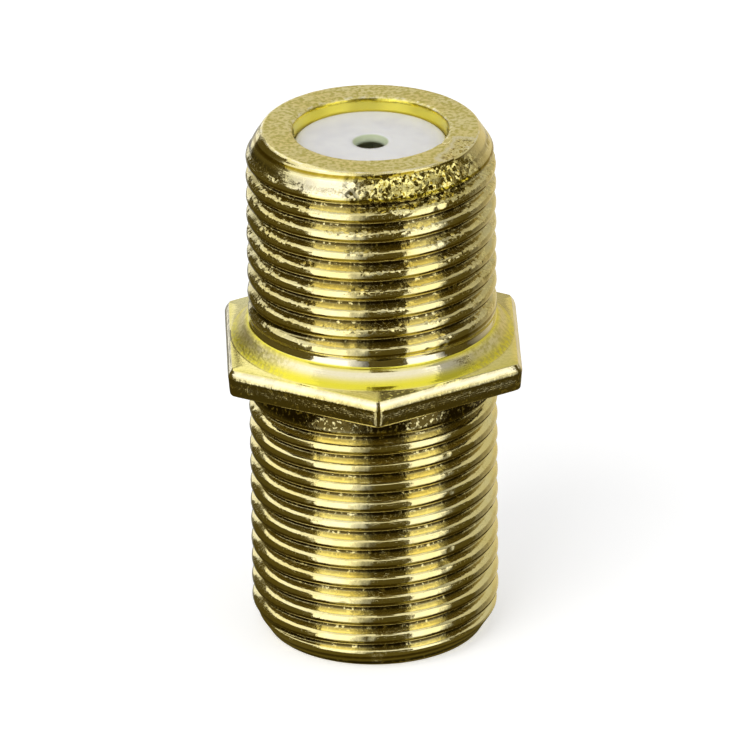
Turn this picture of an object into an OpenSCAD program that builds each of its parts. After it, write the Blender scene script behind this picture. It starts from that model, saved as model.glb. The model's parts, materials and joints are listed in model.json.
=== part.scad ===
// F connector barrel: two threaded sockets back to back on one turned body, in millimetres.
// The axis is Z and the origin is the centre of the lower end face.

/* [Threads] */
// Major diameter of both threads, 3/8 inch nominal
thread_d = 9.45; // [9.3:0.01:9.52]
// Advance in one turn, 32 turns to the inch
thread_pitch = 0.79375; // [0.75:0.00125:0.85]
// Radial depth from crest to root
thread_depth = 0.42; // [0.3:0.01:0.46]
// Width of the flat crest
crest_w = 0.28; // [0.1:0.01:0.32]
// Width of the flat root
root_w = 0.08; // [0.06:0.01:0.14]

/* [Barrels] */
// Length of the upper barrel, from the flange to its rim
upper_len = 7.85; // [6:0.05:10]
// Length of the lower barrel, from the flange to its rim
lower_len = 10.95; // [8:0.05:14]
// Outer diameter of the flat rim at each end
rim_d = 8.2; // [7.6:0.05:8.7]
// Height of the lead-in cone below each rim
lead_len = 0.95; // [0.5:0.05:1.3]
// Plain neck between the flange and the upper thread
neck_len = 0.47; // [0.3:0.01:0.9]
// Diameter of that neck
neck_d = 9.35; // [8.8:0.05:9.4]
// Radius of the fillet at the foot of the neck
neck_fillet = 0.16; // [0.08:0.01:0.2]
// Plain land between the flange and the lower thread
land_len = 0.3; // [0.2:0.01:0.7]

/* [Flange] */
// Hexagon across its flats, 7/16 inch
hex_af = 11.11; // [10.8:0.01:12]
// Height of the upright faces
hex_side = 0.68; // [0.5:0.01:2]
// Height of the bevel under the upright faces
under_bevel_len = 0.12; // [0.05:0.01:0.2]
// Height of the bevel above the upright faces
bevel_len = 0.3; // [0.1:0.01:0.4]
// How far both bevels step in from the flats
bevel_in = 0.16; // [0.08:0.01:0.3]
// Height of the turned crown, a cone from the bevel up to the neck
crown_len = 0.62; // [0.3:0.01:0.8]

/* [Mouths] */
// Diameter of each mouth at the rim
mouth_d = 5.95; // [5.95:0.05:6.6]
// Depth of the mouth, down to the insulator; its wall tapers a little inwards
mouth_depth = 0.55; // [0.3:0.05:1]
// Diameter of the seat that holds each insulator
seat_d = 5.8; // [5.4:0.05:5.9]
// Length of that seat
seat_len = 2.6; // [2:0.05:3.5]
// Diameter of the bore between the two seats
core_d = 5; // [4.4:0.05:5.2]

/* [Insulators] */
// Radial clearance of an insulator in its seat
seat_gap = 0.03; // [0.01:0.01:0.1]
// Diameter of the hole for the centre wire
hole_d = 1.06; // [1:0.01:1.2]
// Diameter of the funnel at the mouth of that hole
funnel_d = 1.3; // [1.22:0.01:1.6]
// Depth of the funnel
funnel_len = 0.2; // [0.1:0.01:0.4]
// Thickness of the front wall
front_wall = 0.9; // [0.7:0.05:1.4]
// Height and width of the chamfer round the front edge
edge_chamfer = 0.12; // [0.05:0.01:0.3]

/* [Contact] */
// Outer diameter of the centre contact
contact_d = 2.4; // [2.1:0.05:2.8]
// Diameter of the bore behind the grip
contact_bore_d = 1.3; // [1.24:0.02:1.5]
// Diameter of the grip, where the fingers close on the wire
grip_d = 0.8; // [0.6:0.02:1]
// Depth of the grip behind each end
grip_depth = 0.9; // [0.6:0.05:1.5]
// Radial clearance of the contact in its pocket
pocket_gap = 0.04; // [0.02:0.01:0.1]
// Gap between the contact and each front wall
end_gap = 0.1; // [0.05:0.01:0.3]
// Width of the slots between the spring fingers
slot_w = 0.26; // [0.15:0.01:0.4]
// Length of those slots
slot_len = 3.2; // [2:0.1:5]
// Solid web in the middle of the contact
web_len = 1.6; // [1:0.1:3]
// Chamfer round each end of the contact
contact_chamfer = 0.2; // [0.1:0.01:0.25]

/* [Hidden] */

plated_brass = "gold";
white_plastic = "gainsboro";
bronze = "peru";

turn_steps = 24;    // flats in one turn of a thread
overcut = 0.3;      // how far a cutter stands outside what it cuts
crest_skim = 0.05;  // height above the crest at which a groove fades in or out
upper_start = 120;  // angle at which the upper groove leaves the neck
lower_start = 200;  // angle at which the lower groove enters the rim
fade_turns = 0.4;   // part of a turn over which a groove fades
crown_step = 0.03;  // how far the foot of the crown stands in from the bevel's flats
spare_turns = 1;    // turns that a groove's cutter runs on past the open end of its barrel

thread_r = thread_d / 2;
root_r = thread_r - thread_depth;
neck_r = neck_d / 2;
rim_r = rim_d / 2;
mouth_r = mouth_d / 2;
seat_r = seat_d / 2;
core_r = core_d / 2;
flank_w = (thread_pitch - crest_w - root_w) / 2;

hex_len = under_bevel_len + hex_side + bevel_len + crown_len;
neck_z = lower_len + hex_len;
total_len = neck_z + upper_len;
shoulder_depth = mouth_depth + seat_len;
contact_inset = mouth_depth + front_wall + end_gap;
contact_len = total_len - 2 * contact_inset;
$fn = 96;

// Section of a groove at one turn count along its helix: four corners, widening outwards.
function groove_section(turn, from_z, start, floor_r) =
    let (out_r = thread_r + overcut,
         out_w = root_w / 2 + flank_w * (out_r - root_r) / thread_depth,
         floor_w = root_w / 2 + flank_w * (floor_r - root_r) / thread_depth,
         z = from_z + turn * thread_pitch,
         a = start + 360 * turn)
    [for (p = [[floor_r, -floor_w], [out_r, -out_w], [out_r, out_w], [floor_r, floor_w]])
        [p[0] * cos(a), p[0] * sin(a), z + p[1]]];

// Cutter for a right-handed thread groove that climbs from from_z for a number of turns.
// It comes up out of the metal over fade_in turns at its foot and fade_out turns at its top.
module groove(from_z, start, turns, fade_in = 0, fade_out = 0) {
    steps = ceil(turns * turn_steps);
    full_dip = thread_depth + crest_skim;
    sections = [for (i = [0 : steps])
        let (t = i * turns / steps,
             dip_in = fade_in > 0 ? min(1, t / fade_in) : 1,
             dip_out = fade_out > 0 ? min(1, (turns - t) / fade_out) : 1)
        groove_section(t, from_z, start, thread_r + crest_skim - full_dip * min(dip_in, dip_out))];
    walls = [for (i = [0 : steps - 1], k = [0 : 3])
        let (a = 4 * i + k, b = 4 * i + (k + 1) % 4)
        each [[a, b, a + 4], [b, b + 4, a + 4]]];
    last = 4 * steps;
    ends = [[0, 2, 1], [0, 3, 2], [last, last + 1, last + 2], [last, last + 2, last + 3]];
    polyhedron(points = [for (s = sections) each s], faces = concat(walls, ends), convexity = 20);
}

// Both barrels and the neck as one turned blank; the step between them is inside the flange.
module turned_blank() {
    step_z = lower_len + hex_len / 2;
    rotate_extrude()
        polygon([[0, 0], [rim_r, 0], [thread_r, lead_len], [thread_r, step_z], [neck_r, step_z],
                 [neck_r, neck_z + neck_len], [thread_r, neck_z + neck_len],
                 [thread_r, total_len - lead_len], [rim_r, total_len], [0, total_len]]);
}

// Concave ring that blends the neck into the crown of the flange.
module neck_blend() {
    translate([0, 0, neck_z])
        rotate_extrude()
            polygon(concat([[neck_r - overcut, 0]],
                           [for (a = [0 : 15 : 90])
                               [neck_r + neck_fillet * (1 - sin(a)), neck_fillet * (1 - cos(a))]],
                           [[neck_r - overcut, neck_fillet]]));
}

// Straight or tapered hexagonal slab between two sizes across the flats, points towards -Y and +Y.
module hex_slab(from_af, to_af, height) {
    rotate([0, 0, 30])
        if (from_af == to_af)
            cylinder(h = height, d = from_af / cos(30), $fn = 6);
        else
            cylinder(h = height, d1 = from_af / cos(30), d2 = to_af / cos(30), $fn = 6);
}

module flange() {
    bevel_af = hex_af - 2 * bevel_in;
    translate([0, 0, lower_len]) {
        hex_slab(bevel_af, hex_af, under_bevel_len);
        translate([0, 0, under_bevel_len]) {
            hex_slab(hex_af, hex_af, hex_side);
            translate([0, 0, hex_side]) {
                hex_slab(hex_af, bevel_af, bevel_len);
                translate([0, 0, bevel_len])
                    cylinder(h = crown_len, r1 = bevel_af / 2 - crown_step, r2 = neck_r + neck_fillet);
            }
        }
    }
}

// Everything that is bored out: a flared mouth and a seat at each end, and the core between them.
module through_bore() {
    rotate_extrude()
        polygon([[0, -overcut], [mouth_r, -overcut], [mouth_r, 0], [seat_r, mouth_depth],
                 [seat_r, shoulder_depth], [core_r, shoulder_depth],
                 [core_r, total_len - shoulder_depth], [seat_r, total_len - shoulder_depth],
                 [seat_r, total_len - mouth_depth], [mouth_r, total_len],
                 [mouth_r, total_len + overcut], [0, total_len + overcut]]);
}

module body() {
    upper_from = neck_z + neck_len + flank_w;
    upper_turns = (total_len - upper_from) / thread_pitch + spare_turns;
    lower_from = -spare_turns * thread_pitch;
    lower_turns = (lower_len - land_len - flank_w) / thread_pitch + spare_turns;
    color(plated_brass)
        difference() {
            union() {
                turned_blank();
                neck_blend();
                flange();
            }
            through_bore();
            groove(upper_from, upper_start, upper_turns, fade_in = fade_turns);
            groove(lower_from, lower_start, lower_turns, fade_out = fade_turns);
        }
}

// Plug with its front face at the origin, facing +Z, and a pocket behind for the contact.
module insulator() {
    plug_r = seat_r - seat_gap;
    pocket_r = contact_d / 2 + pocket_gap;
    color(white_plastic)
        difference() {
            rotate_extrude()
                polygon([[0, -seat_len], [plug_r, -seat_len], [plug_r, -edge_chamfer],
                         [plug_r - edge_chamfer, 0], [0, 0]]);
            translate([0, 0, -front_wall - overcut])
                cylinder(h = front_wall + 2 * overcut, d = hole_d);
            rotate_extrude()
                polygon([[0, -funnel_len], [hole_d / 2, -funnel_len], [funnel_d / 2, 0],
                         [funnel_d / 2, overcut], [0, overcut]]);
            translate([0, 0, -seat_len - overcut])
                cylinder(h = seat_len - front_wall + overcut, r = pocket_r);
        }
}

module upper_insulator() {
    translate([0, 0, total_len - mouth_depth]) insulator();
}

module lower_insulator() {
    translate([0, 0, mouth_depth]) mirror([0, 0, 1]) insulator();
}

// Bore of one half of the contact, cut from its open end at the origin up along +Z.
module spring_bore(depth) {
    bore_r = contact_bore_d / 2;
    rotate_extrude()
        polygon([[0, -overcut], [bore_r, -overcut], [bore_r, 0], [grip_d / 2, grip_depth],
                 [bore_r, 2 * grip_depth], [bore_r, depth], [0, depth]]);
    for (turn = [0, 90])
        rotate([0, 0, turn])
            translate([-contact_d, -slot_w / 2, -overcut])
                cube([2 * contact_d, slot_w, slot_len + overcut]);
}

module centre_contact() {
    contact_r = contact_d / 2;
    color(bronze)
        translate([0, 0, contact_inset])
            difference() {
                rotate_extrude()
                    polygon([[0, 0], [contact_r - contact_chamfer, 0], [contact_r, contact_chamfer],
                             [contact_r, contact_len - contact_chamfer],
                             [contact_r - contact_chamfer, contact_len], [0, contact_len]]);
                spring_bore((contact_len - web_len) / 2);
                translate([0, 0, contact_len])
                    mirror([0, 0, 1])
                        spring_bore((contact_len - web_len) / 2);
            }
}

body();
upper_insulator();
lower_insulator();
centre_contact();
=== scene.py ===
"""F connector barrel: the finished look of one turned, gold-plated body and the pieces it holds.

Sizes are kept in millimetres and meshes are written in metres. +Z is the barrel's axis, and the
origin is the centre of the lower end face. Angles run anticlockwise from +X, seen from above.
"""
import json
import logging
import math
from dataclasses import dataclass, field
from enum import Enum, IntEnum

import bpy
import numpy as np
from mathutils import Matrix, Vector


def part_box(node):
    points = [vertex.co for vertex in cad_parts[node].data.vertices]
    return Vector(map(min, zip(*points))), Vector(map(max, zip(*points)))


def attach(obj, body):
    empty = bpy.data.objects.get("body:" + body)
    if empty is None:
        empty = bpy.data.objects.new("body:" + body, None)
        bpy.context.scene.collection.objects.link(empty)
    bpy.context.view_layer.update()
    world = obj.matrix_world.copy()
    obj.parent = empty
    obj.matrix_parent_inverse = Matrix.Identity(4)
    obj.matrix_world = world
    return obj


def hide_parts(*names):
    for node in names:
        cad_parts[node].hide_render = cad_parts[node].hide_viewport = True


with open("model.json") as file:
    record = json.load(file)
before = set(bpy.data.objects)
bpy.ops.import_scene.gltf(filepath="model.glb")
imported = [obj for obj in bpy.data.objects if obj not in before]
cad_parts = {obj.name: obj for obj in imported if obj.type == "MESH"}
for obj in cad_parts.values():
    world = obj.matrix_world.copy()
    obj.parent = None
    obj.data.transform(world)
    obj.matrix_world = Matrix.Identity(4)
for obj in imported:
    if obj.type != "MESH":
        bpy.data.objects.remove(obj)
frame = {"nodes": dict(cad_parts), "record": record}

log = logging.getLogger("f_connector")

Colour = tuple[float, float, float]
Span = tuple[float, float]

MM = 0.001
TAU = 2.0 * math.pi
RIDES_ON = "root"
# Columns of a skin in one turn: the body's and a plug's.
BODY_COLUMNS = 240
PLUG_COLUMNS = 144
# Every random draw of wear starts from this seed.
WEAR_SEED = 1132
# Tones of the cards that the metal mirrors.
BROWN: Colour = (1.0, 0.78, 0.18)
TAN: Colour = (1.0, 0.9, 0.66)
WARM: Colour = (1.0, 0.97, 0.84)


class Slot(Enum):
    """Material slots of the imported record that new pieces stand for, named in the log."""

    GOLD = "gold_plate"
    INSULATOR = "white_insulator"


class End(Enum):
    """The two ends of the barrel, by the sign of their outward direction along Z."""

    UPPER = 1
    LOWER = -1


class Mark(IntEnum):
    """Surface marks of the body, each a point attribute that the gold plating reads.

    MATTE runs from 0, polished, to 1, worn. The painted-light mark turns to the groove's brown, a
    painted shade, below 0.45, and to the bright tone, a painted highlight, from 1 to 1.4. LATHE is a
    run in millimetres that carries the turning lines. NICKS adds small torn facets from 0 to 1 and
    large struck ones from 1 to 2. The shade-and-tarnish mark is painted shade in the thread's roots
    and undersides and under the flange, and darkening on the flange's faces and ragged edges. The
    yellow-reflection mark is a painted reflection of the gold in itself, a yellow tone. Both run
    from 0 to 1.
    """

    MATTE = 0
    PAINTED_LIGHT = 1
    LATHE = 2
    NICKS = 3
    SHADE_AND_TARNISH = 4
    YELLOW_REFLECTION = 5

    @property
    def attribute(self) -> str:
        """Name of the point attribute."""
        return self.name.lower()


def soft_min(a: np.ndarray, b: np.ndarray, width: float) -> np.ndarray:
    """Smaller of two arrays with a rounded hand-over: (a + b - sqrt((a - b)^2 + w^2)) / 2.

    Args:
        a: first array.
        b: second array.
        width: size of the rounding, w, in the arrays' unit.

    Returns:
        The rounded minimum.
    """
    return 0.5 * (a + b - np.sqrt((a - b) ** 2 + width**2))


def smooth_step(low: float, high: float, value: np.ndarray) -> np.ndarray:
    """Blend from 0 at low to 1 at high along the cubic 3t^2 - 2t^3.

    Args:
        low: value at which the blend is 0.
        high: value at which the blend is 1.
        value: where the blend is wanted.

    Returns:
        The blend, of the same shape as value.
    """
    t = np.clip((value - low) / (high - low), 0.0, 1.0)
    return t * t * (3.0 - 2.0 * t)


def angle_from(angle: np.ndarray, direction_deg: float) -> np.ndarray:
    """Signed angle from a direction, in radians from -pi to pi."""
    return (angle - math.radians(direction_deg) + math.pi) % TAU - math.pi


def plateau(angle: np.ndarray, direction_deg: float, half_deg: float) -> np.ndarray:
    """Flat-topped bump round a direction: exp(-(a / half)^4), with a the angle from it."""
    return np.exp(-((angle_from(angle, direction_deg) / math.radians(half_deg)) ** 4))


@dataclass(frozen=True)
class Band:
    """A range of values that fades in over one span and out over a later one."""

    rise: Span
    fall: Span

    def at(self, value: np.ndarray) -> np.ndarray:
        """1 inside the band and 0 outside it: the product of two smooth steps."""
        return smooth_step(*self.rise, value) * smooth_step(*self.fall[::-1], value)


# Parts of the thread, in shares of the pitch above the middle of the groove.
UNDER_CREST = Band((0.27, 0.31), (0.46, 0.52))
CREST_EDGE = Band((0.56, 0.66), (0.84, 0.93))
UPPER_FLANK = Band((0.68, 0.76), (0.9, 0.96))
# Shares of the rim's notch, between its rise at the border and its floor, that are bright: a painted
# highlight.
NOTCH_VERGE = Band((0.04, 0.2), (0.5, 0.8))


def ring_noise(seed: int, cells: int, cell_mm: float, angle: np.ndarray, run: np.ndarray) -> np.ndarray:
    """Smooth random field on (angle, run) that closes on itself round the axis.

    Random values stand on a lattice and are blended with smoothed bilinear weights; the angle is
    taken modulo a turn, so that the field has no seam.

    Args:
        seed: seed of the random values.
        cells: lattice cells in one turn.
        cell_mm: length of a lattice cell along the run.
        angle: angles round the axis, in radians.
        run: place along the axis or along the profile, in millimetres.

    Returns:
        Values between -1 and 1.
    """
    low = float(run.min())
    rows = int((float(run.max()) - low) / cell_mm) + 3
    lattice = np.random.default_rng(seed).uniform(-1.0, 1.0, (rows, cells))
    x, y = (angle / TAU % 1.0) * cells, (run - low) / cell_mm
    i, j = np.floor(x).astype(int), np.floor(y).astype(int)
    u, v = x - i, y - j
    u, v = u * u * (3.0 - 2.0 * u), v * v * (3.0 - 2.0 * v)
    left, right = i % cells, (i + 1) % cells
    below = lattice[j, left] * (1.0 - u) + lattice[j, right] * u
    above = lattice[j + 1, left] * (1.0 - u) + lattice[j + 1, right] * u
    return below * (1.0 - v) + above * v


def mount(name: str) -> dict:
    """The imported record's mount of that name."""
    return next(m for m in frame["record"]["mounts"] if m["name"] == name)


@dataclass(frozen=True)
class Dent:
    """A nick knocked into the surface, oval in plan."""

    angle_deg: float
    run: float
    reach: float
    depth: float
    stretch: float = 1.0

    def sink(self, angle: np.ndarray, run: np.ndarray, radius: float) -> np.ndarray:
        """How far each place is knocked in: depth * exp(-d^4), d the distance over the reach.

        Args:
            angle: angles round the axis, in radians.
            run: heights along the axis, or radii on a flat face.
            radius: radius on which arc lengths are measured.

        Returns:
            The sinking at each place.
        """
        turn = angle_from(angle, self.angle_deg)
        across = turn * radius / (self.reach * self.stretch)
        along = (run - self.run) / self.reach
        return self.depth * np.exp(-((across**2 + along**2) ** 2))


def scatter_dents(
    seed: int,
    count: int,
    angles: Span,
    runs: Span,
    reach: Span,
    depth: Span,
) -> list[Dent]:
    """Seeded dents spread evenly over a patch.

    Args:
        seed: seed of the random draws.
        count: number of dents.
        angles: lowest and highest angle, in degrees.
        runs: lowest and highest place along the run.
        reach: smallest and largest reach.
        depth: smallest and largest depth.

    Returns:
        The dents.
    """
    draw = np.random.default_rng(seed)
    table = np.stack(
        [
            draw.uniform(*angles, count),
            draw.uniform(*runs, count),
            draw.uniform(*reach, count),
            draw.uniform(*depth, count),
            draw.uniform(0.8, 2.2, count),
        ],
        axis=1,
    )
    return [Dent(*row) for row in table.tolist()]


@dataclass(frozen=True)
class ThreadForm:
    """Section of the thread, in millimetres: a groove with rounded flanks in a cylinder."""

    crest_r: float
    pitch: float = 0.79375
    depth: float = 0.37
    crest_w: float = 0.32
    root_w: float = 0.08
    swell: float = 1.2
    round_off: float = 0.05

    def share(self, off_centre: np.ndarray) -> np.ndarray:
        """Share of the full depth at a distance from the groove's centre line.

        The crest is rounded off by round_off * c^2, where c runs from 0 at its middle to 1 at its
        edge. From there the flank takes up the rest as x^swell, where x runs from 0 at the crest's
        edge to 1 at the root's.

        Args:
            off_centre: distance along the axis from the groove's centre line.

        Returns:
            0 on the crest to 1 at the root.
        """
        flank_w = (self.pitch - self.crest_w - self.root_w) / 2
        c = np.clip((self.pitch / 2 - off_centre) / (self.crest_w / 2), 0.0, 1.0)
        x = np.clip((self.pitch / 2 - self.crest_w / 2 - off_centre) / flank_w, 0.0, 1.0)
        return (self.round_off * c**2 + (self.depth - self.round_off) * x**self.swell) / self.depth


@dataclass(frozen=True)
class ThreadRun:
    """One right-handed groove: from_z at start_deg, climbing a pitch a turn for some turns.

    It deepens over the first fade_in turns, or starts at full depth where that is 0, and runs out
    over the last fade_out turns.
    """

    form: ThreadForm
    from_z: float
    start_deg: float
    turns: float
    fade_in: float
    fade_out: float

    def origin_z(self) -> float:
        """Height of the groove's centre line at angle 0, carried on down to the turn before."""
        return self.from_z - self.form.pitch * self.start_deg / 360.0

    def share(self, angle: np.ndarray, height: np.ndarray) -> np.ndarray:
        """Share of the full groove depth at each place, faded at the ends of the run.

        Args:
            angle: angles round the axis, in radians.
            height: heights along the axis.

        Returns:
            0 where the cylinder is whole to 1 at the full root.
        """
        part = ((angle - math.radians(self.start_deg)) / TAU) % 1.0
        turn = part + np.round((height - self.from_z) / self.form.pitch - part)
        off_centre = np.abs(height - self.from_z - turn * self.form.pitch)
        dip_in = np.clip(turn / self.fade_in, 0.0, 1.0) if self.fade_in else (turn >= 0.0) * 1.0
        dip_out = np.clip((self.turns - turn) / self.fade_out, 0.0, 1.0)
        return self.form.share(off_centre) * dip_in * dip_out

    def phase(self, angle: np.ndarray, height: np.ndarray) -> np.ndarray:
        """Place within the pitch: 0 at the groove's middle, 0.5 at the crest's, growing upwards."""
        return ((height - self.origin_z()) / self.form.pitch - angle / TAU) % 1.0


@dataclass
class RingSkin:
    """Closed skin of revolution gathered from rows of points that share the same columns.

    Each row is a list of vertex numbers, one a column and the first repeated at the end. Two rows
    that follow each other are joined by one face a column, and faces that shrink to a line where
    two rows share their points are dropped.
    """

    columns: int = BODY_COLUMNS
    first_angle: float = math.radians(30.0)
    points: list[np.ndarray] = field(default_factory=list)
    marks: list[np.ndarray] = field(default_factory=list)
    rows: list[np.ndarray] = field(default_factory=list)
    count: int = 0

    def angles(self) -> np.ndarray:
        """Angle of each column, in radians."""
        return self.first_angle + TAU * np.arange(self.columns) / self.columns

    def _store(
        self,
        angle: np.ndarray,
        radius: np.ndarray,
        height: np.ndarray,
        marks: np.ndarray,
    ) -> np.ndarray:
        """Keep points given by cylindrical coordinates: x = r cos(a), y = r sin(a), z = height.

        Args:
            angle: angles round the axis, in radians.
            radius: radii.
            height: heights.
            marks: surface marks along the last axis.

        Returns:
            The vertex numbers, in the shape of radius.
        """
        xyz = np.stack([radius * np.cos(angle), radius * np.sin(angle), height], axis=-1)
        self.points.append(xyz.reshape(-1, 3))
        self.marks.append(marks.reshape(-1, marks.shape[-1]))
        numbers = self.count + np.arange(radius.size)
        self.count += radius.size
        return numbers.reshape(radius.shape)

    def add_rings(self, radius: np.ndarray, height: np.ndarray, marks: np.ndarray) -> None:
        """Add level rings.

        Args:
            radius: radii, rows by columns.
            height: heights, rows by columns.
            marks: surface marks, rows by columns by marks.
        """
        angle = np.broadcast_to(self.angles(), radius.shape)
        numbers = self._store(angle, radius, height, marks)
        self.rows.extend(np.concatenate([numbers, numbers[:, :1]], axis=1))

    def add_spiral(self, zone: "SpiralZone", top_radius: np.ndarray, top_marks: np.ndarray) -> None:
        """Add spiral rows between the last ring and a new level ring.

        Row k + f stands at origin + pitch * (k + f + turn), so that its end, one turn on, is the
        start of the row one pitch higher, and the two share their point. Points below the lower
        ring or above the upper one are replaced by the ring's own point in that column.

        Args:
            zone: the zone between the rings.
            top_radius: radii of the closing ring, one a column.
            top_marks: its marks, columns by marks.
        """
        lower = self.rows[-1][:-1]
        fractions = np.array(zone.fractions)
        per_turn = len(fractions)
        turn = self.angles() / TAU
        pitch = zone.run.form.pitch
        first = math.floor((zone.low - zone.run.origin_z()) / pitch - turn[0]) - 1
        last = math.ceil((zone.high - zone.run.origin_z()) / pitch - turn[0])
        phase = (np.arange(first, last + 1)[:, None] + fractions[None, :]).reshape(-1, 1)
        height = zone.run.origin_z() + pitch * (phase + turn[None, :])
        angle = np.broadcast_to(self.angles(), height.shape)
        below = height < zone.low + zone.snap
        above = height > zone.high - zone.snap
        free = ~(below | above)
        radius, marks = zone.surface(angle[free], height[free])
        numbers = np.empty(height.shape, dtype=int)
        numbers[free] = self._store(angle[free], radius, height[free], marks)
        upper_ring = self._store(
            self.angles(), top_radius, np.full(self.columns, zone.high), top_marks
        )
        numbers = np.where(below, lower[None, :], numbers)
        numbers = np.where(above, upper_ring[None, :], numbers)
        ends = np.full(len(numbers), upper_ring[0])
        ends[: len(numbers) - per_turn] = numbers[per_turn:, 0]
        rows = np.concatenate([numbers, ends[:, None]], axis=1)
        self.rows.extend(rows)
        self.rows.append(np.concatenate([upper_ring, upper_ring[:1]]))

    def mesh(self, name: str, mark_names: tuple[str, ...]) -> bpy.types.Mesh:
        """Join the rows, and the last one to the first, into one mesh in metres.

        The faces are turned over when the sum of a . (b x c) over the triangles is negative, so
        that they point outwards.

        Args:
            name: name of the mesh.
            mark_names: name of each surface mark, stored as a point attribute.

        Returns:
            The mesh.
        """
        rows = np.array([*self.rows, self.rows[0]])
        around = [rows[:-1, :-1], rows[:-1, 1:], rows[1:, 1:], rows[1:, :-1]]
        quads = np.stack(around, axis=-1).reshape(-1, 4)
        repeats = quads == np.roll(quads, -1, axis=1)
        whole = quads[~repeats.any(axis=1)]
        bent = quads[repeats.sum(axis=1) == 1]
        keep = ~repeats[repeats.sum(axis=1) == 1]
        corners = bent[keep].reshape(-1, 3)
        xyz = np.concatenate(self.points)
        tri = np.concatenate([whole[:, [0, 1, 2]], whole[:, [0, 2, 3]], corners])
        a, b, c = xyz[tri[:, 0]], xyz[tri[:, 1]], xyz[tri[:, 2]]
        if np.einsum("ij,ij->i", a, np.cross(b, c)).sum() < 0.0:
            whole, corners = whole[:, ::-1], corners[:, ::-1]
        mesh = bpy.data.meshes.new(name)
        loops = np.concatenate([whole.ravel(), corners.ravel()])
        quad_starts = 4 * np.arange(len(whole))
        corner_starts = 4 * len(whole) + 3 * np.arange(len(corners))
        starts = np.concatenate([quad_starts, corner_starts])
        mesh.vertices.add(len(xyz))
        mesh.vertices.foreach_set("co", (xyz * MM).ravel())
        mesh.loops.add(len(loops))
        mesh.loops.foreach_set("vertex_index", loops)
        mesh.polygons.add(len(starts))
        mesh.polygons.foreach_set("loop_start", starts)
        mesh.update(calc_edges=True)
        mesh.validate()
        mesh.polygons.foreach_set("use_smooth", np.ones(len(mesh.polygons), dtype=bool))
        values = np.concatenate(self.marks)
        for index, mark in enumerate(mark_names):
            mesh.attributes.new(mark, "FLOAT", "POINT").data.foreach_set("value", values[:, index])
        return mesh


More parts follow.
